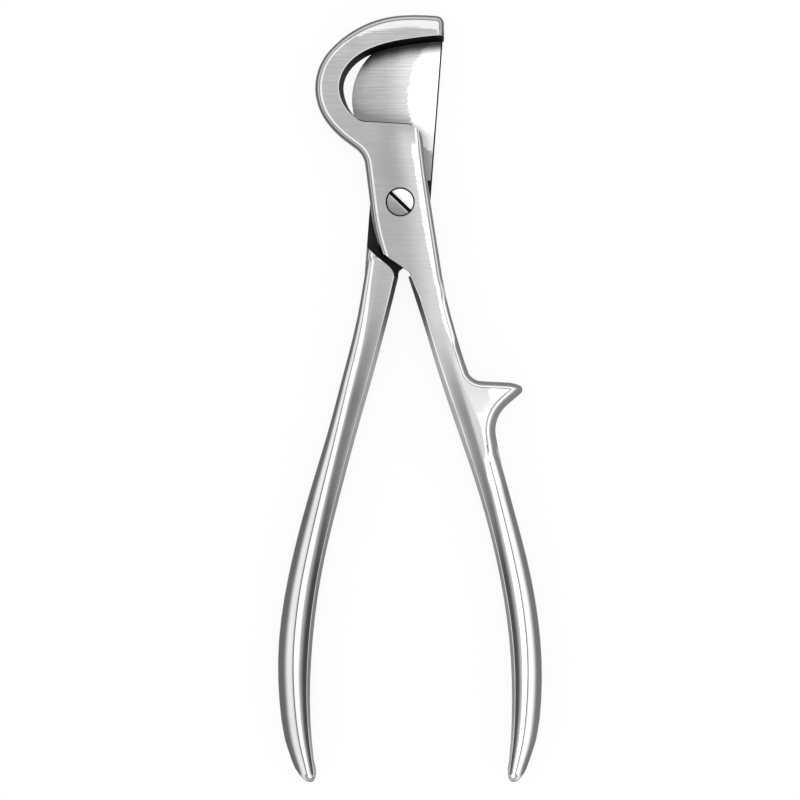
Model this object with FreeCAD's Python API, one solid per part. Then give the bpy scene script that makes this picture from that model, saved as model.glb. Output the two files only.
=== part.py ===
# Rib shears: two forged levers that cross in a lap joint on one slotted screw.
# The front lever is the hook and the right handle, which has a finger spur.
# The rear lever is the cutting blade and the left handle.
# Millimetres. The shears lie flat on the rear face of the joint, with the jaws toward +Y.
# The origin is on the screw's axis, in that rear face.
import FreeCAD, Part
import math
import os
from FreeCAD import Vector

# Joint
joint_thickness = 8.0
lap_play = 0.04          # between the two mating faces
lap_relief = 0.3         # depth of the milled floor round the bearing land
land_radius = 7.2        # bearing land round the screw
relief_top = 6.25        # where the milled floor meets the ground face of the blade
handle_start = -20.2     # y at which the joint ends and the handles begin
bisector_lean = 2.3      # degrees, the handles' middle line against the Y axis

# Edges
edge_round = 1.9         # rounded outer edges of both levers
edge_break = 0.25        # fine chamfer on the inner edges

# Hook
tip_x = 12.0             # flat end of the hook
tip_shoulder = 48.9      # where the flat end turns into the corner
tip_corner = 2.1
tip_rise = 5.7           # degrees, the back of the hook climbs from the corner
throat_lead = 1.5        # the cutter of the throat starts this far before the tip
hook_draft = 1.25        # lean of the hook's inner wall over the thickness of the lever

# Blade
blade_thickness = 2.5
blade_radius = 17.36     # the cutting edge is an arc
blade_centre_x = 4.15
blade_centre_y = 28.37
blade_heel_angle = 196.5 # degrees, where the arc meets the heel
blade_top_angle = 90.0
heel_heading = 300.0     # degrees, the straight heel between the arc and the flank
knee_radius = 12.0       # where the heel turns into the flank
bevel_width = 5.0
edge_land = 0.15         # thickness left at the very edge
bevel_runout = 2.0       # degrees, the bevel runs past both ends of the cutting edge
spine_top_x = 11.78
spine_break = 0.45
thinning_start = 9.0     # the rear face rises from here
thinning_end = 19.0      # to here, where the blade has its own thickness

# Screw
head_diameter = 7.2
head_height = 2.3
head_dome = 0.3          # the head's rim lies this far under the lever's face
head_crown = 0.12        # and its middle stands this far above it
head_gap = 0.33          # between head and counterbore
shank_diameter = 5.0
bore_play = 0.03         # radial, shank in the front lever
thread_diameter = 4.4
thread_play = 0.02
screw_end_depth = 0.0    # the screw ends level with the rear face
screw_end_bevel = 0.3
slot_width = 1.0
slot_depth = 1.1
slot_angle = -43.8

# Handles
belly_thickness = 8.0
tip_y = -158.9
tip_length = 6.0         # the rounded end of each handle
right_tip_bend = -1.6    # sideways run of the middle of the rounded end
left_tip_bend = 2.1
strip_width = 1.15       # drafted inner flank seen from the front
face_roll = 1.05         # length over which the face rolls down to its inner edge

ring_step = 5.5          # spacing of the sections that a handle is lofted through

# Finger spur
spur_thickness = 8.0
spur_tip = 1.45          # radius of the tip in plan
spur_round_top = 1.9     # rounded edges above the tip
spur_round_under = 3.0   # and below it
spur_start = -40.5       # y where the spur leaves the handle
spur_blank_depth = 30.0  # the spur is rounded on a deeper blank than it keeps

# Cutting tools
tool_reach = 100.0       # past everything they have to clear
overrun = 1.0            # past the face that they come out of

# Outlines in plan. A move is (radius, turn in degrees), left turns positive, or (0, length) for a straight.
HOOK_BACK = [(60.0, 8.9), (29.3, 44.3), (15.5, 78.8), (25.1, 17.0), (0, 3.65), (6.3, -46.1), (0, 12.95), (60.5, 11.2)]
HOOK_FOOT = (1.6, -18.3)           # right end of the plate's lower edge
HOOK_HEEL = (2.5, -19.1)
HOOK_INNER_START = 2.9             # x of the right handle's inner crease where it begins
REAR_HEEL = (-0.4, -19.0)
REAR_INNER_START = -0.5
HANDLE_START_WIDTH = 9.3
FLANK_START = (11.5, handle_start)
FLANK_TOP = (8.26, 0.52)
PLATE_FLANK = [(347.0, -3.2), (0, 12.0)]
THROAT = [(9.2, 45.5), (4.0, 44.95), (-0.05, 44.35), (-5.5, 43.05), (-11.0, 40.6),
          (-15.05, 36.8), (-16.75, 32.4), (-16.4, 28.6), (-14.5, 25.1), (-12.0, 22.9), (-8.2, 22.05)]
THROAT_FADE = 3                    # points over which the lean of the wall fades out at the plate
PLATE_TOP = [(-8.2, 22.05), (1.85, 21.45)]
PLATE_CORNER = [(1.85, 21.45), (4.6, 20.2), (6.05, 16.9)]
SPUR_TOP = [(0, 5.5), (4.45, 69.9), (0, 7.1), (9.15, -20.3)]
SPUR_UNDER_HEADING = 220.8
SPUR_UNDER = [(0, 4.8), (9.05, 58.8), (134.3, 4.5), (0, 12.0)]
SPUR_ROOT = [(24.5, -68.0), (14.0, -42.0)]
SHOULDER = [(-14.0, -7.3), (-8.9, -12.3), (-6.3, -15.0), (-2.9, -17.75), (-1.9, -19.2), (-1.7, handle_start)]


def chain(start, heading, moves):
    """Tangent run of straights and arcs at z = 0, with the points where they meet."""
    here = Vector(*start, 0)
    edges = []
    points = [here]
    for radius, amount in moves:
        angle = math.radians(heading)
        ahead = Vector(math.cos(angle), math.sin(angle), 0)
        if radius == 0:
            there = here + ahead * amount
            edges.append(line(here, there))
        else:
            side = math.copysign(1, amount)
            centre = here + Vector(-ahead.y, ahead.x, 0) * radius * side
            spin = FreeCAD.Rotation(Vector(0, 0, 1), amount)
            half = FreeCAD.Rotation(Vector(0, 0, 1), amount / 2)
            there = centre + spin.multVec(here - centre)
            edges.append(arc(here, centre + half.multVec(here - centre), there))
            heading += amount
        here = there
        points.append(here)
    return edges, points


def flat(points, z):
    """Points of the plan lifted to a height."""
    return [Vector(x, y, z) for x, y in points]


def across(points):
    """Points of the plan mirrored over the middle line between the handles."""
    lean = math.radians(bisector_lean)
    nx = math.cos(lean)
    ny = math.sin(lean)
    mirrored = []
    for x, y in points:
        away = x * nx + y * ny
        mirrored.append((x - 2 * away * nx, y - 2 * away * ny))
    return mirrored


def line(a, b):
    return Part.LineSegment(a, b).toShape()


def polyline(points):
    return [line(a, b) for a, b in zip(points, points[1:])]


def spline(points):
    """One smooth curve through the points."""
    curve = Part.BSplineCurve()
    curve.interpolate(Points=points)
    return curve.toShape()


def arc(a, b, c):
    return Part.Arc(a, b, c).toShape()


def prism(edges, bottom, top):
    """Extrude a closed outline drawn at z = 0 between two heights."""
    face = Part.Face(Part.Wire(edges))
    face.translate(Vector(0, 0, bottom))
    return face.extrude(Vector(0, 0, top - bottom))


def edges_on(solid, outline, z):
    """Edges of the solid that lie over the given outline edges at a height."""
    found = []
    for edge in solid.Edges:
        middle = edge.valueAt((edge.FirstParameter + edge.LastParameter) / 2)
        if abs(middle.z - z) > 0.001:
            continue
        foot = Part.Vertex(middle.x, middle.y, 0)
        if min(foot.distToShape(part)[0] for part in outline) < 0.005:
            found.append(edge)
    return found


def disc(radius, bottom, top):
    return Part.makeCylinder(radius, top - bottom, Vector(0, 0, bottom))


# Heights through the joint
middle = joint_thickness / 2
lap_front = middle + lap_play / 2
lap_rear = middle - lap_play / 2


def flank_x(side, y):
    """x of the straight outer flank of a lever beside the joint."""
    points = [FLANK_START, FLANK_TOP]
    if side < 0:
        points = across(points)
    (x0, y0), (x1, y1) = points
    return x0 + (y - y0) * (x1 - x0) / (y1 - y0)


def flank_slope(side):
    return flank_x(side, handle_start - 1) - flank_x(side, handle_start)


# Handle stations: y, thickness, width of the outer round, its height,
# width of the inner flank, drop of the face toward the inner flank
STATIONS = [
    (handle_start - 3.8, belly_thickness, edge_round, edge_round, strip_width, 0.0),
    (-31.7, belly_thickness, 2.0, 2.0, strip_width, 0.0),
    (-46.9, belly_thickness, 2.2, 2.2, strip_width, 0.05),
    (-62.2, belly_thickness, 2.8, 2.8, strip_width, 0.3),
    (-77.5, belly_thickness, 3.0, 3.0, strip_width, 0.7),
    (-100.4, belly_thickness - 0.2, 3.9, 3.5, strip_width, 1.4),
    (-123.3, belly_thickness - 0.2, 4.2, 3.6, strip_width, 1.6),
    (-138.6, 7.4, 3.9, 3.4, 0.9, 1.4),
    (-147.0, 6.6, 3.3, 2.9, 0.6, 1.2),
    (tip_y + tip_length, 5.6, 2.8, 2.5, 0.5, 1.0)]
# Outer x and width of each handle at those stations
RIGHT_HANDLE = [(12.20, 8.75), (14.10, 8.15), (18.80, 8.20), (24.90, 9.15), (29.40, 8.45),
                (35.45, 8.50), (38.75, 8.50), (38.60, 7.90), (37.40, 7.00), (35.50, 5.60)]
LEFT_HANDLE = [(-10.40, 9.00), (-11.80, 8.45), (-15.60, 8.20), (-19.70, 7.95), (-24.30, 8.45),
               (-30.30, 8.95), (-33.50, 9.20), (-33.00, 8.25), (-31.70, 7.40), (-29.80, 6.10)]
TIP_ANGLES = [22, 42, 58, 71, 81, 87]


def guide(rows, column):
    """Smooth curve of three values in each row, run by the distance along the handle."""
    curve = Part.BSplineCurve()
    curve.interpolate(Points=[Vector(*row[column:column + 3]) for row in rows],
                      Parameters=[rows[0][0] - row[0] for row in rows])
    return curve


def section(y, outer, inward, width, thickness, round_width, round_height, strip, drop, lip):
    """Closed outline of a handle in the plane of one y, the same above and below its middle."""
    half = thickness / 2
    ridge = outer + inward * round_width
    inner = outer + inward * width
    crease = inner - inward * strip
    fold = crease - inward * lip
    bend = fold - inward * min(face_roll, abs(fold - ridge) / 2)
    low = half - drop - lip
    below = crease + inward * strip * lip / (half - drop)

    def at(x, rise):
        return Vector(x, y, middle + rise)

    def upper(sign):
        corner = Part.BezierCurve()
        corner.setPoles([at(outer, sign * (half - round_height)), at(outer, sign * half), at(ridge, sign * half)])
        corner.setWeight(2, math.sqrt(0.5))
        face = Part.BezierCurve()
        face.setPoles([at(ridge, sign * half), at(bend, sign * half), at(fold, sign * (half - drop))])
        bevel = line(at(fold, sign * (half - drop)), at(below, sign * low))
        flank = line(at(below, sign * low), at(inner, 0))
        return [corner.toShape(), face.toShape(), bevel, flank]

    side = line(at(outer, -(half - round_height)), at(outer, half - round_height))
    return Part.Wire([side] + upper(1) + upper(-1)[::-1])


def handle_rows(side):
    """Values of one handle at its start and at each station."""
    places = RIGHT_HANDLE if side > 0 else LEFT_HANDLE
    slant = math.hypot(1, flank_slope(side))
    start_outer = flank_x(side, handle_start)
    crease = HOOK_INNER_START if side > 0 else SHOULDER[-1][0]
    start_strip = abs(start_outer - side * HANDLE_START_WIDTH - crease)
    rows = [(handle_start, start_outer, HANDLE_START_WIDTH, joint_thickness,
             edge_round * slant, edge_round, start_strip, 0.0)]
    for (outer, width), (y, *sizes) in zip(places, STATIONS):
        rows.append((y, outer, width, *sizes))
    return rows


def handle(side):
    """One tapering handle with a rounded end, lofted through sections along smooth guide curves."""
    inward = -side
    rows = handle_rows(side)
    guide_a = guide(rows, 1)
    guide_b = guide(rows, 4)
    guide_c = guide(rows, 5)
    run = handle_start - rows[-1][0]
    count = round(run / ring_step)
    rings = []
    for i in range(count + 1):
        along = run * i / count
        outer, width, thickness = guide_a.value(along)
        thickness = min(thickness, joint_thickness)
        round_width, round_height, strip = guide_b.value(along)
        drop = guide_c.value(along)[2]
        rings.append(section(handle_start - along, outer, inward, width, thickness,
                             round_width, round_height, strip, drop, edge_break))
    centre = outer + inward * width / 2
    bend = right_tip_bend if side > 0 else left_tip_bend
    for angle in TIP_ANGLES:
        reach = math.sin(math.radians(angle))
        size = math.cos(math.radians(angle))
        outer = centre + bend * reach - inward * size * width / 2
        rings.append(section(rows[-1][0] - tip_length * reach, outer, inward, size * width, size * thickness,
                             size * round_width, size * round_height, size * strip, size * drop,
                             size * edge_break))
    return Part.makeLoft(rings, True, True)


def lap_cut(outline, bottom, top):
    """Everything above a shoulder line, to be milled away from one half of the thickness."""
    points = flat(outline, 0)
    side = math.copysign(1, points[0].x)
    reach = side * tool_reach
    far = [points[-1], Vector(-reach, points[-1].y, 0), Vector(-reach, tool_reach, 0),
           Vector(reach, tool_reach, 0), Vector(reach, points[0].y, 0), points[0]]
    return prism([spline(points)] + polyline(far), bottom, top)


def save(name, shape):
    shape.exportStep("parts/" + name + ".step")
    print(name, "volume", round(shape.Volume, 1), "solids", len(shape.Solids), "valid", shape.isValid())


def hook_outline():
    """Plan of the front lever down to the start of its handle, and the edges that are rounded."""
    rise = math.radians(tip_rise)
    half_turn = (math.pi / 2 + rise) / 2
    corner_x = tip_x - tip_corner
    tip_high = Vector(tip_x, tip_shoulder, 0)
    corner_middle = Vector(corner_x + tip_corner * math.cos(half_turn), tip_shoulder + tip_corner * math.sin(half_turn), 0)
    corner_end = Vector(corner_x + tip_corner * math.sin(rise), tip_shoulder + tip_corner * math.cos(rise), 0)
    corner = arc(tip_high, corner_middle, corner_end)
    back, back_points = chain((corner_end.x, corner_end.y), 180 - tip_rise, HOOK_BACK)
    foot_end = Vector(*HOOK_FOOT, 0)
    foot = line(back_points[-1], foot_end)
    heel_end = Vector(HOOK_INNER_START, handle_start, 0)
    heel = arc(foot_end, Vector(*HOOK_HEEL, 0), heel_end)
    low = Vector(*FLANK_START, 0)
    high = Vector(*FLANK_TOP, 0)
    base = line(heel_end, low)
    run = high - low
    heading = math.degrees(math.atan2(run.y, run.x))
    flank, flank_points = chain(FLANK_START, heading, [(0, run.Length)] + PLATE_FLANK)
    tip_low = Vector(tip_x, flank_points[-1].y, 0)
    tip_side = line(tip_low, tip_high)
    waste = line(flank_points[-1], tip_low)
    outline = [tip_side, corner] + back + [foot, heel, base] + flank + [waste]
    return outline, [tip_side, corner] + back + flank, flank[0], back_points, [foot, heel]


def sideways(points, amounts):
    """Points of the plan moved to the left of their run, each by its own amount."""
    moved = []
    for i, (x, y) in enumerate(points):
        before = points[max(i - 1, 0)]
        after = points[min(i + 1, len(points) - 1)]
        run = math.hypot(after[0] - before[0], after[1] - before[1])
        left_x = (before[1] - after[1]) / run
        left_y = (after[0] - before[0]) / run
        moved.append((x + amounts[i] * left_x, y + amounts[i] * left_y))
    return moved


def throat_rim(z, spread):
    """Section of the open mouth of the hook and of the space above the plate, closed far to the right."""
    lean = hook_draft * (joint_thickness - z) / (joint_thickness - middle)
    points = [(tip_x + throat_lead, THROAT[0][1])] + THROAT + PLATE_TOP[1:] + PLATE_CORNER[1:]
    count = 1 + len(THROAT)
    amounts = []
    for i in range(len(points)):
        share = min(1, max(0, count - 1 - i) / THROAT_FADE)
        amounts.append(lean * share - spread)
    moved = flat(sideways(points, amounts), z)
    start = moved[0]
    end = moved[-1]
    far = tip_x + tool_reach
    closing = polyline([end, Vector(far, end.y, z), Vector(far, start.y, z), start])
    return Part.Wire([spline(moved[:count]), line(*moved[count - 1:count + 1]), arc(*moved[count:])] + closing)


def throat():
    """Cutter of the mouth, with the lean of its inner wall and the fine chamfer round its edge."""
    rims = [throat_rim(lap_rear - overrun, 0), throat_rim(joint_thickness - edge_break, 0),
            throat_rim(joint_thickness + overrun, edge_break + overrun)]
    return Part.makeLoft(rims, True, True)


def spur():
    """Finger rest on the outside of the right handle, with rounded edges that meet in a mitre at its tip."""
    outer = guide(handle_rows(1), 1)
    along = handle_start - spur_start
    outward = outer.getD1(along)[1].x
    heading = math.degrees(math.atan2(-1, outward))
    turn = 360 + heading + sum(amount for radius, amount in SPUR_TOP if radius) - SPUR_UNDER_HEADING
    top, top_points = chain((outer.value(along).x, spur_start), heading, SPUR_TOP)
    reach = spur_tip * math.tan(math.radians(turn / 2))
    ahead = math.radians(SPUR_UNDER_HEADING + turn)
    apex = top_points[-1] + Vector(math.cos(ahead), math.sin(ahead), 0) * reach
    back = math.radians(SPUR_UNDER_HEADING)
    landing = apex + Vector(math.cos(back), math.sin(back), 0) * reach
    under, under_points = chain((landing.x, landing.y), SPUR_UNDER_HEADING, SPUR_UNDER)
    last = under_points[-1]
    depth = Vector(-spur_blank_depth, 0, 0)
    far = polyline([last, last + depth, top_points[0] + depth, top_points[0]])
    bottom = middle - spur_thickness / 2
    above = top + [line(top_points[-1], apex)]
    below = [line(apex, landing)] + under
    blank = prism(above + below + far, bottom, bottom + spur_thickness)
    rounded = []
    for radius, rim in ((spur_round_top, above), (spur_round_under, below)):
        edges = edges_on(blank, rim, bottom) + edges_on(blank, rim, bottom + spur_thickness)
        rounded.append(blank.makeFillet(radius, edges))
    nose, nose_points = chain((top_points[-1].x, top_points[-1].y), SPUR_UNDER_HEADING + turn, [(spur_tip, -turn)])
    root = polyline([last] + flat(SPUR_ROOT, 0) + [top_points[0]])
    blunt = prism(top + nose + under + root, bottom, bottom + spur_thickness)
    return blunt.common(rounded[0]).common(rounded[1])


def hook_lever():
    """Front lever: hook, joint plate and right handle with the finger spur."""
    outline, rounded, straight, back_points, foot = hook_outline()
    blank = prism(outline, 0, joint_thickness)
    blank = blank.makeFillet(edge_round, edges_on(blank, rounded, joint_thickness) + edges_on(blank, [straight], 0))
    blank = blank.makeChamfer(edge_break, edges_on(blank, foot, joint_thickness))
    plate = blank.cut(throat())
    plate = plate.cut(lap_cut(across(SHOULDER), -overrun, lap_front))
    lever = plate.fuse([handle(1), spur()])
    lever = lever.cut(disc(shank_diameter / 2 + bore_play, -overrun, joint_thickness + overrun))
    lever = lever.cut(disc(head_diameter / 2 + head_gap, joint_thickness - head_height, joint_thickness + overrun))
    return lever.removeSplitter()


def knee(heel_start, flank_foot):
    """Three points of the arc that joins the straight heel of the blade to the straight flank of the lever."""
    heading = math.radians(heel_heading)
    heel = Vector(math.cos(heading), math.sin(heading), 0)
    flank = Vector(flank_slope(-1), -1, 0)
    flank.normalize()
    gap = flank_foot - heel_start
    corner = heel_start + heel * (gap.cross(flank).z / heel.cross(flank).z)
    half = heel.getAngle(flank) / 2
    reach = knee_radius * math.tan(half)
    inside = flank - heel
    inside.normalize()
    return corner - heel * reach, corner + inside * knee_radius * (1 / math.cos(half) - 1), corner + flank * reach


def blade_outline():
    """Plan of the rear lever down to the start of its handle, and its parts by name."""
    centre = Vector(blade_centre_x, blade_centre_y, 0)

    def on_edge(degrees):
        angle = math.radians(degrees)
        return centre + Vector(math.cos(angle), math.sin(angle), 0) * blade_radius

    cutting_edge = arc(on_edge(blade_top_angle), on_edge((blade_top_angle + blade_heel_angle) / 2),
                       on_edge(blade_heel_angle))
    spine_top = Vector(spine_top_x, blade_centre_y + blade_radius, 0)
    heel_start = on_edge(blade_heel_angle)
    left_start = Vector(flank_x(-1, handle_start), handle_start, 0)
    knee_start, knee_middle, knee_end = knee(heel_start, left_start)
    heel = [line(heel_start, knee_start), arc(knee_start, knee_middle, knee_end)]
    straight = line(knee_end, left_start)
    front_edges, rounded, flank, back_points, foot = hook_outline()
    last_arc = rounded[1 + len(HOOK_BACK)]
    bend = last_arc.valueAt((last_arc.FirstParameter + last_arc.LastParameter) / 2)
    ends = [back_points[-2], bend, back_points[-1]]
    spine_foot, right_bend, right_end = flat(across([(point.x, point.y) for point in ends]), 0)
    right = arc(right_end, right_bend, spine_foot)
    spine = line(spine_foot, spine_top)
    top = line(spine_top, on_edge(blade_top_angle))
    foot_end = flat(across([HOOK_FOOT]), 0)[0]
    heel_end = Vector(REAR_INNER_START, handle_start, 0)
    corner = arc(heel_end, Vector(*REAR_HEEL, 0), foot_end)
    base = line(left_start, heel_end)
    outline = [cutting_edge] + heel + [straight, base, corner, line(foot_end, right_end), right, spine, top]
    return outline, straight, right, spine


def bevel_tool():
    """Ring that grinds the cutting edge from behind, its face a cone about the edge's own centre."""
    rear = lap_rear - blade_thickness
    slope = (blade_thickness - edge_land) / bevel_width
    inner = blade_radius - bevel_width
    outer = blade_radius + overrun
    profile = [(inner, rear), (outer, rear + slope * (outer - inner)), (outer, rear - overrun), (inner, rear - overrun)]
    points = [Vector(blade_centre_x + r, blade_centre_y, z) for r, z in profile]
    face = Part.Face(Part.makePolygon(points + points[:1]))
    centre = Vector(blade_centre_x, blade_centre_y, 0)
    face.rotate(centre, Vector(0, 0, 1), blade_top_angle - bevel_runout)
    return face.revolve(centre, Vector(0, 0, 1), blade_heel_angle - blade_top_angle + 2 * bevel_runout)


def rear_thinning():
    """Wedge that thins the blade from the rear, with a slope up from the joint."""
    rear = lap_rear - blade_thickness
    profile = [(thinning_start, -overrun), (thinning_start, 0), (thinning_end, rear),
               (tool_reach, rear), (tool_reach, -overrun)]
    points = [Vector(-tool_reach, y, z) for y, z in profile]
    return Part.Face(Part.makePolygon(points + points[:1])).extrude(Vector(2 * tool_reach, 0, 0))


def lap_floor():
    """Shallow milled floor round the bearing land."""
    floor = lap_rear - lap_relief
    block = Part.makeBox(2 * tool_reach, relief_top + tool_reach, middle, Vector(-tool_reach, -tool_reach, floor))
    return block.cut(disc(land_radius, 0, joint_thickness))


def blade_lever():
    """Rear lever: cutting blade, joint plate and left handle."""
    outline, straight, right, spine = blade_outline()
    blank = prism(outline, 0, joint_thickness)
    plate = blank.cut(lap_cut(SHOULDER, lap_rear, joint_thickness + overrun))
    rims = edges_on(plate, [straight], joint_thickness) + edges_on(plate, [straight, right, spine], 0)
    plate = plate.makeFillet(edge_round, rims)
    plate = plate.cut(rear_thinning())
    plate = plate.makeChamfer(spine_break, edges_on(plate, [spine], lap_rear))
    shoulder = [spline(flat(SHOULDER, 0))]
    plate = plate.makeChamfer(edge_break, edges_on(plate, shoulder, joint_thickness))
    relief = lap_floor().common(lap_cut(SHOULDER, 0, joint_thickness))
    plate = plate.cut([relief, bevel_tool()])
    lever = plate.fuse(handle(-1))
    lever = lever.cut(disc(thread_diameter / 2 + thread_play, -overrun, joint_thickness + overrun))
    return lever.removeSplitter()


def pivot_screw():
    """Slotted screw: domed head, plain shank for the front lever, threaded end for the rear lever."""
    head_bottom = joint_thickness - head_height + lap_play / 2
    head_radius = head_diameter / 2
    top = joint_thickness + head_crown
    end_x = thread_diameter / 2
    outline = [(0, screw_end_depth), (end_x - screw_end_bevel, screw_end_depth),
               (end_x, screw_end_depth + screw_end_bevel), (end_x, lap_rear), (shank_diameter / 2, lap_rear),
               (shank_diameter / 2, head_bottom), (head_radius, head_bottom), (head_radius, top), (0, top)]
    points = [Vector(x, 0, z) for x, z in outline]
    solid = Part.Face(Part.Wire(polyline(points + points[:1]))).revolve(Vector(0, 0, 0), Vector(0, 0, 1), 360)
    rise = head_dome + head_crown
    dome_radius = (head_radius ** 2 + rise ** 2) / (2 * rise)
    solid = solid.common(Part.makeSphere(dome_radius, Vector(0, 0, top - dome_radius)))
    slot = Part.makeBox(head_diameter * 2, slot_width, slot_depth * 2,
                        Vector(-head_diameter, -slot_width / 2, joint_thickness - slot_depth))
    slot.rotate(Vector(0, 0, 0), Vector(0, 0, 1), slot_angle)
    return solid.cut(slot)


os.makedirs("parts", exist_ok=True)
save("hook_lever", hook_lever())
save("blade_lever", blade_lever())
save("pivot_screw", pivot_screw())
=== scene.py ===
# %% [markdown]
# Rib shears, dressed for the studio.
# The shears are two forged levers of stainless steel and one slotted screw.
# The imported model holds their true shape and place, in metres, so this scene adds
# what a model of the solids lacks: the finish of the steel, the light and the camera.
# The solids could be modelled again here, but they already are smooth and exact, so
# they stay as they are and only get their materials.

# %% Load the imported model
import math

import bpy
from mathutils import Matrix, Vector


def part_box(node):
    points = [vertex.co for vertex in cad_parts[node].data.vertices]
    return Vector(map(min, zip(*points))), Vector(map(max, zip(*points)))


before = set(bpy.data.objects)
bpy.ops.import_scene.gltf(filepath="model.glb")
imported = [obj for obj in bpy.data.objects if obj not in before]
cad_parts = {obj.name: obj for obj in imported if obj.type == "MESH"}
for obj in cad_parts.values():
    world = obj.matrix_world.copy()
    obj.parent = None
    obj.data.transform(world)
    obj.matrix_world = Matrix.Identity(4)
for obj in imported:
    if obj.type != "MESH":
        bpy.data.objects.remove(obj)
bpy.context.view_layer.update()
print("packed nodes:", sorted(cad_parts))

# %% [markdown]
# The scene is in metres. Places on the shears read more easily in millimetres, so MM is
# one millimetre, and most numbers below are counted in it. The screw's middle is the
# origin, the jaws point along +Y, and the front faces look up, along +Z.

# %% Sizes
MM = 0.001
face_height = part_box("blade_lever")[1].z
print("front faces at", round(face_height / MM, 2), "mm")

# %% [markdown]
# A material in Blender is a small machine of nodes. Wired one by one, the long sums of
# this finish would be hard to read. So a Wire stands for the value that a socket puts
# out, and + - * / between wires add the Math nodes that work the sum out.

# %% Wires
class Wire:
    """A value that changes over the surface."""

    def __init__(self, socket):
        self.socket = socket
        self.tree = socket.id_data

    def __add__(self, other):
        return calculate("ADD", self, other)

    def __sub__(self, other):
        return calculate("SUBTRACT", self, other)

    def __mul__(self, other):
        return calculate("MULTIPLY", self, other)

    def __truediv__(self, other):
        return calculate("DIVIDE", self, other)

    def __radd__(self, other):
        return calculate("ADD", other, self)

    def __rsub__(self, other):
        return calculate("SUBTRACT", other, self)

    def __rmul__(self, other):
        return calculate("MULTIPLY", other, self)

    def __rtruediv__(self, other):
        return calculate("DIVIDE", other, self)


def add_node(tree, kind, inputs=None, **settings):
    """Adds a node, applies its settings and fills or wires its inputs."""
    node = tree.nodes.new(kind)
    for name, value in settings.items():
        setattr(node, name, value)
    for name, value in (inputs or {}).items():
        if isinstance(value, Wire):
            tree.links.new(value.socket, node.inputs[name])
        else:
            node.inputs[name].default_value = value
    return node


def calculate(operation, *values):
    """The result of one Math node. At least one of the values is a wire."""
    tree = next(value.tree for value in values if isinstance(value, Wire))
    node = add_node(tree, "ShaderNodeMath", dict(enumerate(values)), operation=operation)
    return Wire(node.outputs[0])


# %% [markdown]
# Four more helpers. An ease runs smoothly from 0 to 1 between two values, and most masks
# are products of a few eases.

# %% Helpers for masks
def ease(value, start, end):
    """Runs smoothly from 0 at start to 1 at end."""
    node = add_node(value.tree, "ShaderNodeMapRange", {0: value, 1: start, 2: end, 3: 0.0, 4: 1.0},
                    interpolation_type="SMOOTHSTEP")
    return Wire(node.outputs[0])


def bigger(first, second):
    """The bigger of two values."""
    return calculate("MAXIMUM", first, second)


def smaller(first, second):
    """The smaller of two values."""
    return calculate("MINIMUM", first, second)


def mix(share, first, second):
    """The first value where the share is 0, the second where it is 1."""
    return first + (second - first) * share


# %% [markdown]
# The flat faces of such shears are drawn over a fine grinding belt, which leaves very
# fine lines across the lever, a tenth of a millimetre wide. A noise that is stretched
# along the lines gives them, and a broad, soft noise gives the patches where a hand
# pressed a little harder. Both are used by every steel here, so they are a group.

# %% Fine lines of the grinding belt, as a group
SCRATCH_SCALE = 0.42
PATCH_SCALE = 90.0


def build_grain_group():
    """Group with the belt's lines and the broad patches of the finish."""
    tree = bpy.data.node_groups.new("belt_grain", "ShaderNodeTree")
    for name in ("Line Length", "Line Width"):
        tree.interface.new_socket(name, in_out="INPUT", socket_type="NodeSocketFloat")
    for name in ("Lines", "Scratches", "Patches"):
        tree.interface.new_socket(name, in_out="OUTPUT", socket_type="NodeSocketFloat")
    start = add_node(tree, "NodeGroupInput").outputs
    end = add_node(tree, "NodeGroupOutput").inputs
    place = Wire(add_node(tree, "ShaderNodeTexCoord").outputs["Object"])
    along = 1.0 / Wire(start["Line Length"])
    across = 1.0 / Wire(start["Line Width"])
    scale = Wire(add_node(tree, "ShaderNodeCombineXYZ", {0: along, 1: across, 2: along}).outputs[0])
    stretched = Wire(add_node(tree, "ShaderNodeVectorMath", {0: place, 1: scale},
                              operation="MULTIPLY").outputs[0])
    noises = {"Lines": (stretched, 1.0, 1.0),
              "Scratches": (stretched, SCRATCH_SCALE, 2.0),
              "Patches": (place, PATCH_SCALE, 2.0)}
    for name, (vector, noise_scale, detail) in noises.items():
        noise = add_node(tree, "ShaderNodeTexNoise",
                         {"Vector": vector, "Scale": noise_scale, "Detail": detail})
        tree.links.new(noise.outputs[0], end[name])
    return tree


grain_group = build_grain_group()
print("group:", grain_group.name, [item.name for item in grain_group.interface.items_tree])

# %% [markdown]
# A polished lever isn't one even finish. Its flat faces carry the belt's lines, and its
# rounded edges are polished smooth and mirror darker parts of the room, which painted
# shade in their colour deepens. Its standing sides take painted shade inside the hook and
# between the shanks. How far the surface leans away from the flat face tells these apart,
# so a second group reads a normal and puts out a mask for each.

# %% Masks for face, rounds and sides, as a group
LEANS = {"Face": (0.97, 0.999), "Steep": (0.95, 0.68), "Side": (0.5, 0.33)}


def build_lean_group():
    """Group that tells flat faces, steep rounds and standing sides apart by their lean."""
    tree = bpy.data.node_groups.new("lean", "ShaderNodeTree")
    tree.interface.new_socket("Normal", in_out="INPUT", socket_type="NodeSocketVector")
    for name in LEANS:
        tree.interface.new_socket(name, in_out="OUTPUT", socket_type="NodeSocketFloat")
    normal = Wire(add_node(tree, "NodeGroupInput").outputs["Normal"])
    end = add_node(tree, "NodeGroupOutput").inputs
    height = Wire(add_node(tree, "ShaderNodeSeparateXYZ", {0: normal}).outputs["Z"])
    up = calculate("ABSOLUTE", height)
    for name, (from_height, to_height) in LEANS.items():
        tree.links.new(ease(up, from_height, to_height).socket, end[name])
    return tree


lean_group = build_lean_group()
print("group:", lean_group.name, [item.name for item in lean_group.interface.items_tree])

# %% [markdown]
# What a material can know about the point it colours: its place on the piece, in
# millimetres, and its normal. They come from Object coordinates, which travel with the
# piece when the shears open.

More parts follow.
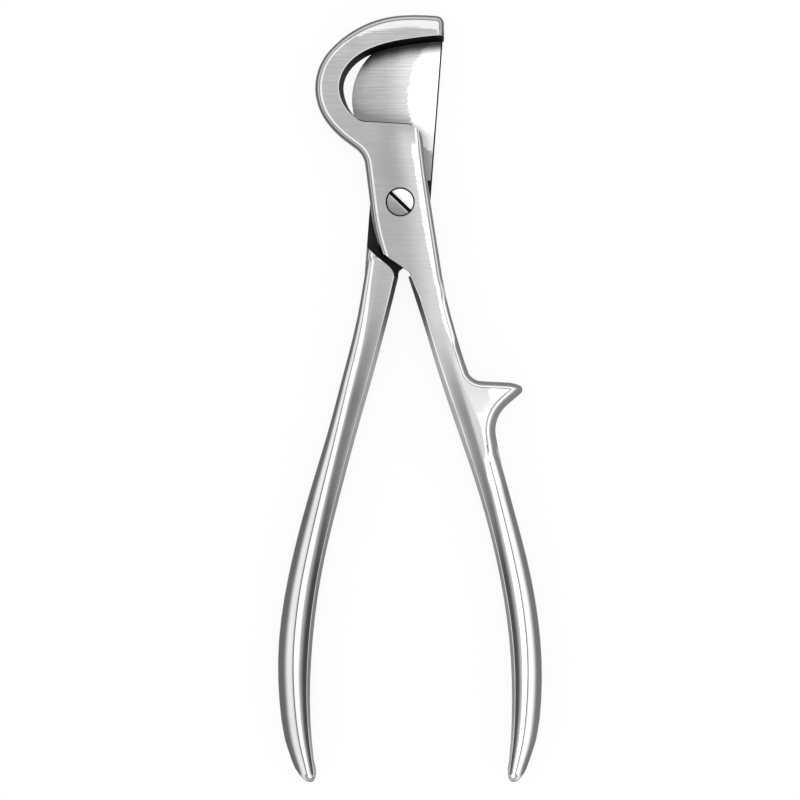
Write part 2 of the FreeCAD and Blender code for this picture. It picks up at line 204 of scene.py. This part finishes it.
# %% Reading a point
class Spot:
    """The point of a piece that a material is asked for."""

    def __init__(self, tree):
        seen = add_node(tree, "ShaderNodeTexCoord").outputs
        place = add_node(tree, "ShaderNodeSeparateXYZ", {0: Wire(seen["Object"])}).outputs
        self.x, self.y, self.z = [Wire(place[axis]) / MM for axis in "XYZ"]
        self.normal = Wire(seen["Normal"])
        self.up = Wire(add_node(tree, "ShaderNodeSeparateXYZ", {0: self.normal}).outputs["Z"])


def inside_oval(spot, centre, half, fade, ragged=0.0):
    """1 inside an upright oval of the plan, fading to 0 just outside it."""
    away_x = (spot.x - centre[0]) / half[0]
    away_y = (spot.y - centre[1]) / half[1]
    away = calculate("SQRT", away_x * away_x + away_y * away_y)
    return ease(away + ragged, 1.0 + fade, 1.0)


# %% [markdown]
# The handles are forged with an arched section. From the outside in there is a broad
# round, darkened toward its edge by painted shade, a fine crease with a painted dark
# groove, a bright shoulder that leans out a little, a hollow whose dark tone is a painted
# reflection of a darker part of the room, and the thin inner edge. To place these on a
# handle that bends and tapers, its mesh is measured: at each height, where its inner and
# outer edges lie. Near the spur the outer edge isn't the handle's own, so those heights
# are left out.

# %% Measure the handles
SPUR_ZONE = (-72, -36)
HANDLE_ZONE = (-153, -22)
FEWEST_POINTS = 20
LEAST_WIDTH = 5


def measure_handle(node, outward):
    """Height along the handle, then x of its inner and outer edges."""
    levels = {}
    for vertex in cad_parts[node].data.vertices:
        x, y, z = vertex.co / MM
        if HANDLE_ZONE[0] < y < HANDLE_ZONE[1]:
            levels.setdefault(round(y, 2), []).append(outward * x)
    rows = []
    for y, sides in sorted(levels.items()):
        whole = len(sides) > FEWEST_POINTS and max(sides) - min(sides) > LEAST_WIDTH
        if whole and not (outward > 0 and SPUR_ZONE[0] < y < SPUR_ZONE[1]):
            rows.append((y, outward * min(sides), outward * max(sides)))
    return rows


OUTWARD = {"hook_lever": 1, "blade_lever": -1}
HANDLES = {node: measure_handle(node, outward) for node, outward in OUTWARD.items()}
for node, rows in HANDLES.items():
    print(node, "measured at", len(rows), "heights, from", [round(v, 1) for v in rows[0]],
          "to", [round(v, 1) for v in rows[-1]])

# %% [markdown]
# The blade runs close under the hook, so it lies in its shade there. The hook's lower
# rim is measured in the same way. It rises toward the tip, so a point that lies higher
# than one further right belongs to another edge and is dropped.

# %% Measure the hook's rim
RIM_ZONE = ((-14, 14.5), (36, 44.6))


def measure_hook_rim():
    """x along the hook, then y of its lower rim."""
    (left, right), (low, high) = RIM_ZONE
    columns = {}
    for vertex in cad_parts["hook_lever"].data.vertices:
        x, y, z = vertex.co / MM
        if left < x < right and low < y < high:
            columns.setdefault(round(x), []).append(y)
    rim = []
    for x, heights in sorted(columns.items(), reverse=True):
        if not rim or min(heights) < rim[0][1]:
            rim.insert(0, (x, min(heights)))
    return rim


HOOK_RIM = measure_hook_rim()
print("hook's rim from", [round(v, 1) for v in HOOK_RIM[0]], "to", [round(v, 1) for v in HOOK_RIM[-1]])

# %% [markdown]
# A Float Curve carries such measures into a material. It works between 0 and 1, so the
# heights and the measures are squeezed into that range and let out again behind it.
# Where the crease lies between the outer edge and the inner one is a share of the
# handle's width, and it moves inward toward the belly.

# %% Place across a handle
SIDE_REACH = 50
CREASE = [(-160, 0.62), (-153, 0.6), (-139, 0.55), (-125, 0.5), (-109, 0.475), (-89, 0.45),
          (-70, 0.37), (-60, 0.31), (-49, 0.26), (-38, 0.23), (-27, 0.18), (-20, 0.15)]


def measured_curve(value, points, reach=SIDE_REACH):
    """The second number of the measured points, read at this value of their first."""
    low, high = points[0][0], points[-1][0]
    node = add_node(value.tree, "ShaderNodeFloatCurve", {"Value": (value - low) / (high - low)})
    squeezed = [((at - low) / (high - low), found / reach / 2 + 0.5) for at, found in points]
    curve = node.mapping.curves[0].points
    curve[0].location = squeezed[0]
    curve[1].location = squeezed[-1]
    for at, found in squeezed[1:-1]:
        curve.new(at, found)
    node.mapping.update()
    return (Wire(node.outputs[0]) - 0.5) * (reach * 2)


def across_handle(spot, node):
    """Shares from the crease: 1 at the inner edge for the first, 1 at the outer edge for the second."""
    inner = measured_curve(spot.y, [(y, inner_x) for y, inner_x, outer_x in HANDLES[node]])
    outer = measured_curve(spot.y, [(y, outer_x) for y, inner_x, outer_x in HANDLES[node]])
    crease = outer + (inner - outer) * measured_curve(spot.y, CREASE, 1.0)
    from_crease = spot.x - crease
    return from_crease / (inner - crease), from_crease / (outer - crease)


print("crease at", CREASE[-1][1], "of the handle's width by the joint and", CREASE[0][1], "at its tip")


# %% [markdown]
# Places that no belt or wheel reaches are made rougher, and their colour is darkened as
# painted shade: the bore round the screw's head, and the narrow walls inside the hook and
# between the shanks. On the rear lever that is the milled floor of the lap joint and the
# inside of the shank, with a painted dark line along the cutting edge, and on the screw
# it is the slot, with painted shade over the lower left of the head. They could be
# separate materials on chosen faces, but a mask keeps one steel for each piece and fades
# softly at its border. Each function gives one piece's mask.

# %% Masks for the dull places and their painted shade
# Painted shade in the bore, and on the sides inside the hook and between the shanks.
def dull_shade_in_front_lever(spot, side):
    bore = inside_oval(spot, (0.0, 0.0), (3.95, 3.95), 0.02)
    throat = inside_oval(spot, (-2, 34), (21.8, 16.3), 0.03)
    shank = ease(spot.y, -45, -24) * ease(spot.y, -12, -14) * ease(spot.x, 12, 9)
    return bigger(bore, side * bigger(throat, shank))


# Painted shade on the lap floor and on the inside of the shank.
def dull_shade_in_rear_lever(spot, side):
    floor = ease(spot.z, 3.9, 3.8) * ease(spot.up, 0.6, 0.7)
    shank = ease(spot.y, -45, -24) * ease(spot.x, -9, -7) * (1.0 - ease(spot.y, 0, 4) * 0.55)
    off_face = 1.0 - inside_oval(spot, (4.15, 28.37), (17.05, 17.05), 0.008)
    # A painted dark line along the blade's curved cutting edge.
    painted_edge_line = off_face * ease(spot.y, 21, 22) * ease(spot.x, 5, 3)
    return bigger(bigger(floor, painted_edge_line * 0.5), side * shank)


# Painted shade in the slot.
def dull_shade_in_screw(spot, side):
    slot = ease(spot.z, 7.66, 7.6)
    # Painted shade over the lower left of the head.
    shaded_lower_left = ease(spot.x + spot.y, 2.5, -5)
    return bigger(slot, shaded_lower_left * 0.5)


# %% [markdown]
# No ground face is quite flat. The blade rolls off toward its spine, the joint plate
# toward its right edge, the hook toward its back, and the spur dips at its tip and at
# its root. Where a face leans by a few degrees it mirrors a whiter part of the room,
# which gives the bright fields. White patches could be painted there, but they would
# stay when the shears are seen from another side, while a leaning face dims. The
# belt's scratches make the borders ragged. Each function gives the lean of one piece's
# faces to the right and toward the jaws.

# %% Leaning faces
PLATE_SLANT = 0.152
FIELD_LEAN = 0.12
HOOK_LEAN = 0.1
WEB_EDGE = [(-80, 24.3), (-73, 23.5), (-67.5, 23.0), (-62, 22.2), (-56, 19.8), (-50, 17.1),
            (-44, 14.9), (-38, 13.3)]


def across_plate(spot):
    """Distance to the right, counted from the slanting middle line of the joint plate."""
    return spot.x + spot.y * PLATE_SLANT


def beside_spur(spot):
    """1 on the outer half of the handle where the spur grows out of it."""
    from_edge = spot.x - measured_curve(spot.y, WEB_EDGE)
    return ease(from_edge, -0.4, 0.4) * ease(spot.y, -40, -46) * ease(spot.y, -80, -74)


def lean_of_front_lever(spot, ragged):
    outer_part = across_plate(spot) + smaller(spot.y + 10, 0.0) * 0.06
    plate = ease(outer_part + ragged * 1.2, 5.0, 5.6) * ease(spot.y, 18, 14) * ease(spot.y, -40, -32)
    below_back = inside_oval(spot, (2, 30), (26, 17.6), 0.015, ragged * 0.12)
    hook = (1.0 - below_back) * ease(spot.y, 41, 43)
    spur_tip = inside_oval(spot, (30, -52), (4.6, 3.4), 0.6, ragged * 0.5)
    spur_root = beside_spur(spot) * ease(spot.y - spot.x + ragged * 10, -70, -88)
    return (plate + bigger(spur_tip, spur_root)) * FIELD_LEAN, hook * HOOK_LEAN


def lean_of_rear_lever(spot, ragged):
    field = inside_oval(spot, (14, 29), (11.6, 17), 0.03, ragged * 0.25)
    return field * FIELD_LEAN, 0.0


def lean_of_screw(spot, ragged):
    """The head is a low dome, and its upper right half, past the slot, leans further."""
    past_slot = ease(spot.x * 0.692 + spot.y * 0.722, -0.78, -0.7) * 0.15
    return past_slot - spot.x * 0.045, past_slot - spot.y * 0.045


# %% [markdown]
# Softer changes of tone, painted light and shade in place of reflections and shading.
# The plate is painted a little lighter toward its right edge and darker in its middle,
# the spur's root is painted light, the blade lightens from left to right, and so does the
# screw's head.

# %% Painted light and shade on the faces
# Painted light toward the plate's right edge and on the spur's root, painted shade in the plate's middle.
def painted_light_on_front_lever(spot):
    plate = across_plate(spot)
    right_edge = ease(plate, -1, 6) * ease(spot.y, 22, 15)
    middle = ease(plate, -6, -1) * ease(plate, 4.5, 0.5) * ease(spot.y, -4, 4) * ease(spot.y, 26, 22)
    return (right_edge - middle * 0.3 + beside_spur(spot) * 0.7) * 0.4 + 0.88


# Painted light on the blade's right, painted shade on its left.
def painted_light_on_rear_lever(spot):
    right = ease(spot.x, -5, 4) * 0.5
    left = ease(spot.x, -3, -12) * 0.2
    return (right - left) * ease(spot.y, 18, 22) + 1.0


# Painted light toward the upper right of the screw's head.
def painted_light_on_screw(spot):
    return ease(spot.x + spot.y, -1, 5) * 0.5 + 1.0


# %% [markdown]
# The shade that the front lever throws on the blade is soft and dark, below the hook's
# rim and beside the plate. A round tent lights the steel from all sides, so it throws
# hardly any shade of its own there, and the material adds it. It is laid only where
# that lever really is near, which the steel finds out for itself further down, so that
# it goes when the shears open.

# %% Shade on the blade
def shade_of_front_lever(spot):
    under_rim = measured_curve(spot.x, HOOK_RIM) - spot.y
    below_hook = ease(under_rim, 5.5, 0.5) * ease(spot.y, 28, 33) * ease(spot.x, 15.5, 12) * 0.97
    beside_plate = (ease(across_plate(spot), 9.8, 7.0) * ease(spot.y, 22, 19)
                    * ease(spot.y, -2, 2) * 0.95)
    return bigger(below_hook, beside_plate)


# %% [markdown]
# The arched section of the handles is too low for the mesh alone to mirror the room as
# the polished steel does, so the material works out its normals, and paints the shade of
# the round, the crease and the hollow into the colour. This cell gives the masks: how far
# along the handle the section reaches, its round, its face, its shoulder and the painted
# shade of its hollow. In the spur's zone the outer edge leaves the handle, and how far the
# round has turned is read from the mesh there.

# %% Masks across a handle
HANDLE_STARTS = {"hook_lever": (-21, -28), "blade_lever": (-13, -17)}
SHOULDER_NARROWS = {"hook_lever": (-62, -40), "blade_lever": (-45, -16)}
HOLLOW_SHADE_STARTS = {"hook_lever": (-30, -62), "blade_lever": (-14, -58)}


def in_spur_zone(spot, node):
    """1 where the spur takes over the handle's outer edge."""
    if node != "hook_lever":
        return 0.0
    low, high = SPUR_ZONE
    return ease(spot.y, low, low + 6) * ease(spot.y, high, high - 4)


def round_of_handle(spot, spur, along, across, out):
    """Mask of the outer round, how far it has turned, and the painted shade of the fine groove at the
    crease.
    """
    turned = calculate("SQRT", bigger(1.0 - spot.up * spot.up, 0.0))
    on_handle = (1.0 - spur) * ease(out, 0.0, 0.02) * ease(out, 0.97, 0.93)
    on_spur = spur * ease(turned, 0.04, 0.1) * ease(turned, 0.99, 0.97) * ease(across, 0.1, 0.0)
    rounded = along * (on_handle + on_spur)
    out = mix(spur, out, turned)
    groove_shade = ease(mix(spur, out, turned * 0.4), 0.11, 0.05) * rounded * 0.55
    return rounded, out, groove_shade


def shoulder_of_handle(spot, node, spur, across, lower):
    """Mask of the bright shoulder beside the crease."""
    start, end = SHOULDER_NARROWS[node]
    shifted = across - lower * 0.08 + ease(spot.y, start, end) * 0.14
    return ease(shifted, 0.26, 0.19) * (1.0 - spur * 0.75)


def hollow_shade_of_handle(spot, node, across, lower):
    """How dark the painted shade of the hollow is, from the shoulder to the inner edge."""
    start, end = HOLLOW_SHADE_STARTS[node]
    depth = ease(spot.y, start, end) * 0.6 + lower * 0.28
    inner_rise = ease(across, 0.55, 0.8) * (1.0 - lower) * 0.4
    sides = ease(across, lower * 0.08 + 0.18, lower * 0.24 + 0.38) * ease(across, 0.8, 0.765)
    return sides * depth * (1.0 - inner_rise)


# %% [markdown]
# With those masks the handle's section is put together: a shoulder that leans out by
# eight degrees, and a round that starts steeply at the crease, at 23 degrees, and turns
# on to the edge. A vector points the way it leans, straight outward on the handle and
# along the mesh's own normal round the spur.

# %% Arched section of a handle
SHOULDER_LEAN = 0.14
ROUND_START = 0.43
ROUND_GROWTH = 0.75
print("shoulder leans", round(math.degrees(math.atan(SHOULDER_LEAN)), 1), "degrees, round starts at",
      round(math.degrees(math.atan(ROUND_START)), 1))


def vector_math(operation, first, second=None):
    """The result of one Vector Math node."""
    inputs = {0: first} if second is None else {0: first, 1: second}
    return Wire(add_node(first.tree, "ShaderNodeVectorMath", inputs, operation=operation).outputs[0])


def scaled(vector, factor):
    """A vector times a number."""
    node = add_node(vector.tree, "ShaderNodeVectorMath", {0: vector, "Scale": factor}, operation="SCALE")
    return Wire(node.outputs[0])


def vector_of(tree, x, y, z):
    """A vector of three values."""
    return Wire(add_node(tree, "ShaderNodeCombineXYZ", {0: x, 1: y, 2: z}).outputs[0])


def mix_vectors(share, first, second):
    """The first vector where the share is 0, the second where it is 1."""
    node = add_node(second.tree, "ShaderNodeMix", {0: share, 4: first, 5: second}, data_type="VECTOR")
    return Wire(node.outputs[1])


def section_of_handle(spot, node):
    """The handle's masks by name, and the vector of its lean."""
    across, out = across_handle(spot, node)
    start, end = HANDLE_STARTS[node]
    along = ease(spot.y, start, end) * ease(spot.y, -159, -156)
    lower = ease(spot.y, -65, -105)
    spur = in_spur_zone(spot, node)
    rounded, out, groove_shade = round_of_handle(spot, spur, along, across, out)
    face = along * ease(across, -0.02, 0.0) * ease(across, 0.84, 0.8) * (1.0 - rounded)
    shoulder = shoulder_of_handle(spot, node, spur, across, lower)
    lean = shoulder * SHOULDER_LEAN * face + (out * ROUND_GROWTH + ROUND_START) * rounded
    round_spur = vector_math("NORMALIZE", vector_math("MULTIPLY", spot.normal, (1, 1, 0)))
    way = mix_vectors(spur, (OUTWARD[node], 0, 0), round_spur)
    # The hollow and the round's shade below are painted shade in the colour.
    return {"lean": scaled(way, lean), "face": face, "rounded": rounded,
            "hollow_shade": bigger(hollow_shade_of_handle(spot, node, across, lower) * face, groove_shade),
            "shade": ease(spur * 0.15 + out, 0.34, 0.66) * rounded,
            "strip": along * ease(across, 0.8, 0.84)}


NO_SECTION = {"face": 0.0, "rounded": 0.0, "hollow_shade": 0.0, "shade": 0.0, "strip": 0.0}


def facing_of(spot, tilt, section):
    """The normal that the steel is lit with: leaning faces, and the handle's section over them."""
    facing = vector_math("ADD", spot.normal, tilt)
    if "lean" in section:
        upright = vector_of(spot.normal.tree, 0.0, 0.0, calculate("SIGN", spot.up))
        arched = vector_math("ADD", vector_math("ADD", section["lean"], upright),
                             scaled(tilt, section["face"]))
        not_inside = ease(calculate("ABSOLUTE", spot.up), 0.02, 0.06)
        share = smaller(section["face"] + section["rounded"], 1.0) * not_inside
        facing = mix_vectors(share, facing, vector_math("NORMALIZE", arched))
    return vector_math("NORMALIZE", facing)


# %% [markdown]
# Dark and light on bare steel are mostly reflections, yet three painted shades darken
# its colour: on a steep round, which also mirrors the dark ring of the room, in a dull
# place, and at a seam where two pieces meet. Ambient Occlusion finds the seams, and tells
# the blade whether the front lever is near. Standing sides and the fine chamfer at the
# rim of the faces get less of the painted shade and stay brighter than the rounds.

# %% Dark places and their painted shade
SEAM_REACH = 12 * MM
SEAM_SHADE_DEPTH = 0.5


def steep_shade_places(spot, masks, section):
    """Mask of the painted shade on the steep rounds, which also mirror the dark ring."""
    chamfer = ease(spot.z, 7.68, 7.74) * ease(spot.up, 0.83, 0.78) * ease(spot.up, 0.5, 0.6)
    standing = ease(calculate("ABSOLUTE", spot.up), 0.35, 0.1)
    steep_shade = mix(section["rounded"], Wire(masks["Steep"]), section["shade"])
    return steep_shade * (1.0 - chamfer) * (1.0 - section["strip"] * 0.1) * (1.0 - standing * 0.6)


def seam_shade_places(spot, node):
    """How dark the painted shade of the seams and of the front lever is."""
    found = add_node(spot.normal.tree, "ShaderNodeAmbientOcclusion", {"Distance": SEAM_REACH}, samples=8)
    open_sky = Wire(found.outputs["AO"])
    near = ease(open_sky, 0.995, 0.95)
    # Painted shade in the seams, where Ambient Occlusion finds another surface near.
    seam_shade = (1.0 - calculate("POWER", ease(open_sky, 0.6, 0.93), 1.7)) * SEAM_SHADE_DEPTH
    if node == "blade_lever":
        seam_shade = bigger(seam_shade, shade_of_front_lever(spot) * near)
    return seam_shade


# %% [markdown]
# The steel is a metal of a plain light grey. On the faces the belt's lines tilt the
# surface by a degree or so, which a Bump node does, so a reflection is drawn out across
# them. The same lines make the finish now rougher, now smoother, and a shade lighter or
# darker. Down the handles the lines fade, because those are polished further.

# %% Steel
STEEL_TONE = 0.62
STEEL_ROUGHNESS = 0.11
ROUGHER = {"lines": 0.12, "patches": 0.06, "steep_shade": 0.12, "dull_shade": 0.35}
LIGHTER = {"lines": 0.09, "patches": 0.16}
PAINTED_DARKER = {"steep_shade": 0.78, "dull_shade": 0.95}
LINE_WIDTH = 0.13 * MM
LINE_DEPTH = 0.006 * MM
FAINT_BLUE = 1.01


def steel(name, node, dull_shaded_places, leaning, painted_tones, tone=STEEL_TONE, line_tilt=1.0, line_length=5 * MM):
    """Ground and polished steel with lines, patches, sides, dull places and painted light and shade."""
    material = bpy.data.materials.new(name)
    material.use_nodes = True
    tree = material.node_tree
    tree.nodes.clear()
    grain = add_node(tree, "ShaderNodeGroup", node_tree=grain_group)
    grain.inputs["Line Length"].default_value = line_length
    grain.inputs["Line Width"].default_value = LINE_WIDTH
    scratches = Wire(grain.outputs["Scratches"]) - 0.5
    patches = Wire(grain.outputs["Patches"]) - 0.5

    spot = Spot(tree)
    to_right, to_jaws = leaning(spot, scratches)
    tilt = scaled(vector_of(tree, to_right, to_jaws, 0.0), ease(spot.up, 0.9, 0.97))
    section = section_of_handle(spot, node) if node in HANDLES else NO_SECTION
    facing = facing_of(spot, tilt, section)
    masks = add_node(tree, "ShaderNodeGroup", {"Normal": facing}, node_tree=lean_group).outputs
    own = add_node(tree, "ShaderNodeGroup", {"Normal": spot.normal}, node_tree=lean_group).outputs
    dull_shade = dull_shaded_places(spot, Wire(own["Side"]))
    lined = Wire(masks["Face"]) * (ease(spot.y, -60, -15) * 0.65 + 0.35)
    steep_shade = steep_shade_places(spot, masks, section)

    rough = (scratches * (lined * ROUGHER["lines"]) + STEEL_ROUGHNESS + patches * ROUGHER["patches"]
             + steep_shade * ROUGHER["steep_shade"] + dull_shade * ROUGHER["dull_shade"])
    light = scratches * (lined * LIGHTER["lines"]) + tone + patches * LIGHTER["patches"]
    # The colour carries the painted light and shade: the painted tones, and the painted shade of steep
    # rounds, dull places, hollows and seams.
    light = (light * painted_tones(spot) * (1.0 - steep_shade * PAINTED_DARKER["steep_shade"]) * (1.0 - dull_shade * PAINTED_DARKER["dull_shade"])
             * (1.0 - section["hollow_shade"]) * (1.0 - seam_shade_places(spot, node)))
    color = add_node(tree, "ShaderNodeCombineColor", {0: light, 1: light, 2: light * FAINT_BLUE})

    lit = add_node(tree, "ShaderNodeVectorTransform", {0: facing}, vector_type="NORMAL",
                   convert_from="OBJECT", convert_to="WORLD")
    height = scratches * 2.0 + Wire(grain.outputs["Lines"])
    bump = add_node(tree, "ShaderNodeBump", {"Height": height, "Distance": LINE_DEPTH,
                                             "Normal": Wire(lit.outputs[0]), "Strength": lined * line_tilt})
    shader = add_node(tree, "ShaderNodeBsdfPrincipled",
                      {"Base Color": Wire(color.outputs[0]), "Metallic": 1.0, "Roughness": rough,
                       "Normal": Wire(bump.outputs[0])})
    add_node(tree, "ShaderNodeOutputMaterial", {"Surface": Wire(shader.outputs[0])})
    return material


# %% [markdown]
# Each piece gets its own steel. The blade's lines are longer, because it is ground along
# its whole width, and the screw, turned and polished, is darker and has hardly any.

# %% Finish the three pieces
FINISHES = {"hook_lever": steel("front_lever_steel", "hook_lever", dull_shade_in_front_lever,
                                lean_of_front_lever, painted_light_on_front_lever, line_tilt=0.6),
            "blade_lever": steel("rear_lever_steel", "blade_lever", dull_shade_in_rear_lever,
                                 lean_of_rear_lever, painted_light_on_rear_lever, line_tilt=0.8,
                                 line_length=7 * MM),
            "pivot_screw": steel("screw_steel", "pivot_screw", dull_shade_in_screw, lean_of_screw,
                                 painted_light_on_screw, tone=0.5, line_tilt=0.3)}
for node, material in FINISHES.items():
    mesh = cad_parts[node].data
    mesh.materials.clear()
    mesh.materials.append(material)
    print(node, "wears", material.name, "on", len(mesh.polygons), "faces")

# %% [markdown]
# The shears lie on a sheet of white paper. The paper is seen as pure white, in the
# picture and in the steel, and a share of its own shading keeps the shadow under them.

# %% White floor
PAPER_TONE = 0.93
WHITE_SHARE = 0.9
FLOOR_SIZE = 4
FLOOR_HEIGHT = -0.1 * MM


def white_paper():
    """Paper that looks white to the camera and in reflections and still takes a shadow."""
    material = bpy.data.materials.new("white_paper")
    material.use_nodes = True
    tree = material.node_tree
    tree.nodes.clear()
    path = add_node(tree, "ShaderNodeLightPath").outputs
    seen = Wire(path["Is Camera Ray"]) + Wire(path["Is Glossy Ray"]) + Wire(path["Is Transmission Ray"])
    share = smaller(seen, 1.0) * WHITE_SHARE
    paper = add_node(tree, "ShaderNodeBsdfPrincipled",
                     {"Base Color": (PAPER_TONE, PAPER_TONE, PAPER_TONE, 1), "Roughness": 0.9})
    glow = add_node(tree, "ShaderNodeEmission", {"Color": (1, 1, 1, 1), "Strength": 1.0})
    both = add_node(tree, "ShaderNodeMixShader", {0: share, 1: Wire(paper.outputs[0]),
                                                  2: Wire(glow.outputs[0])})
    add_node(tree, "ShaderNodeOutputMaterial", {"Surface": Wire(both.outputs[0])})
    return material


bpy.ops.object.select_all(action="DESELECT")
bpy.ops.mesh.primitive_plane_add(size=FLOOR_SIZE, location=(0, 0, FLOOR_HEIGHT))
floor = bpy.context.object
floor.name = "floor"
floor.data.materials.append(white_paper())
print("floor", floor.dimensions[:2])

# %% [markdown]
# Steel shows its surroundings more than its own colour, so the light is built as a round
# tent whose brightness changes with the angle from straight above. A flat face mirrors the
# soft grey top, an edge that turns away mirrors the white ring round it, then one darker
# ring, then the light wall. Those rings give the thin white and dark lines along every
# rounded edge. Lamps could do it too, but a ring has no beginning and no end, so the
# lines run on evenly round the curves of the levers.

# %% Light tent
TENT = [(0.0, 0.82), (10.0, 0.80), (13.0, 1.65), (34.0, 1.6), (43.0, 0.42), (52.0, 0.38),
        (60.0, 1.35), (74.0, 1.35), (88.0, 1.0), (180.0, 1.0)]


def build_world():
    """World with the rings of the light tent, as degrees from straight above and brightness."""
    world = bpy.data.worlds.new("light_tent")
    bpy.context.scene.world = world
    world.use_nodes = True
    tree = world.node_tree
    tree.nodes.clear()
    direction = Wire(add_node(tree, "ShaderNodeTexCoord").outputs["Generated"])
    height = Wire(add_node(tree, "ShaderNodeSeparateXYZ", {0: direction}).outputs["Z"])
    from_top = calculate("ARCCOSINE", height) / math.pi
    ramp = add_node(tree, "ShaderNodeValToRGB", {0: from_top})
    brightest = max(level for angle, level in TENT)
    elements = ramp.color_ramp.elements
    while len(elements) > 1:
        elements.remove(elements[-1])
    elements[0].position = 0
    elements[0].color = [TENT[0][1] / brightest] * 3 + [1]
    for angle, level in TENT[1:]:
        elements.new(angle / 180).color = [level / brightest] * 3 + [1]
    background = add_node(tree, "ShaderNodeBackground",
                          {"Color": (1, 1, 1, 1), "Strength": Wire(ramp.outputs[0]) * brightest})
    add_node(tree, "ShaderNodeOutputWorld", {"Surface": Wire(background.outputs[0])})


build_world()
print("tent of", len(TENT), "rings")

# %% [markdown]
# The photograph looks straight down on the shears. They span 770 of its 800 pixels and
# are 210 mm long, which gives the width that the camera sees. From 60 cm above the faces
# the view is nearly flat, and the standing sides of the levers hardly show.

# %% Camera
CAMERA_DISTANCE = 0.600
CAMERA_PLACE = (-0.05 * MM, -54.03 * MM)
PICTURE_WIDTH = 800 * 0.21 / 770
camera_data = bpy.data.cameras.new("camera")
camera = bpy.data.objects.new("camera", camera_data)
bpy.context.scene.collection.objects.link(camera)
camera.location = (*CAMERA_PLACE, face_height + CAMERA_DISTANCE)
camera_data.sensor_fit = "HORIZONTAL"
camera_data.angle = 2 * math.atan(PICTURE_WIDTH / 2 / CAMERA_DISTANCE)
camera_data.clip_start = 0.01
bpy.context.scene.camera = camera
bpy.context.scene.view_settings.view_transform = "Standard"
print("camera sees", round(PICTURE_WIDTH / MM, 1), "mm")
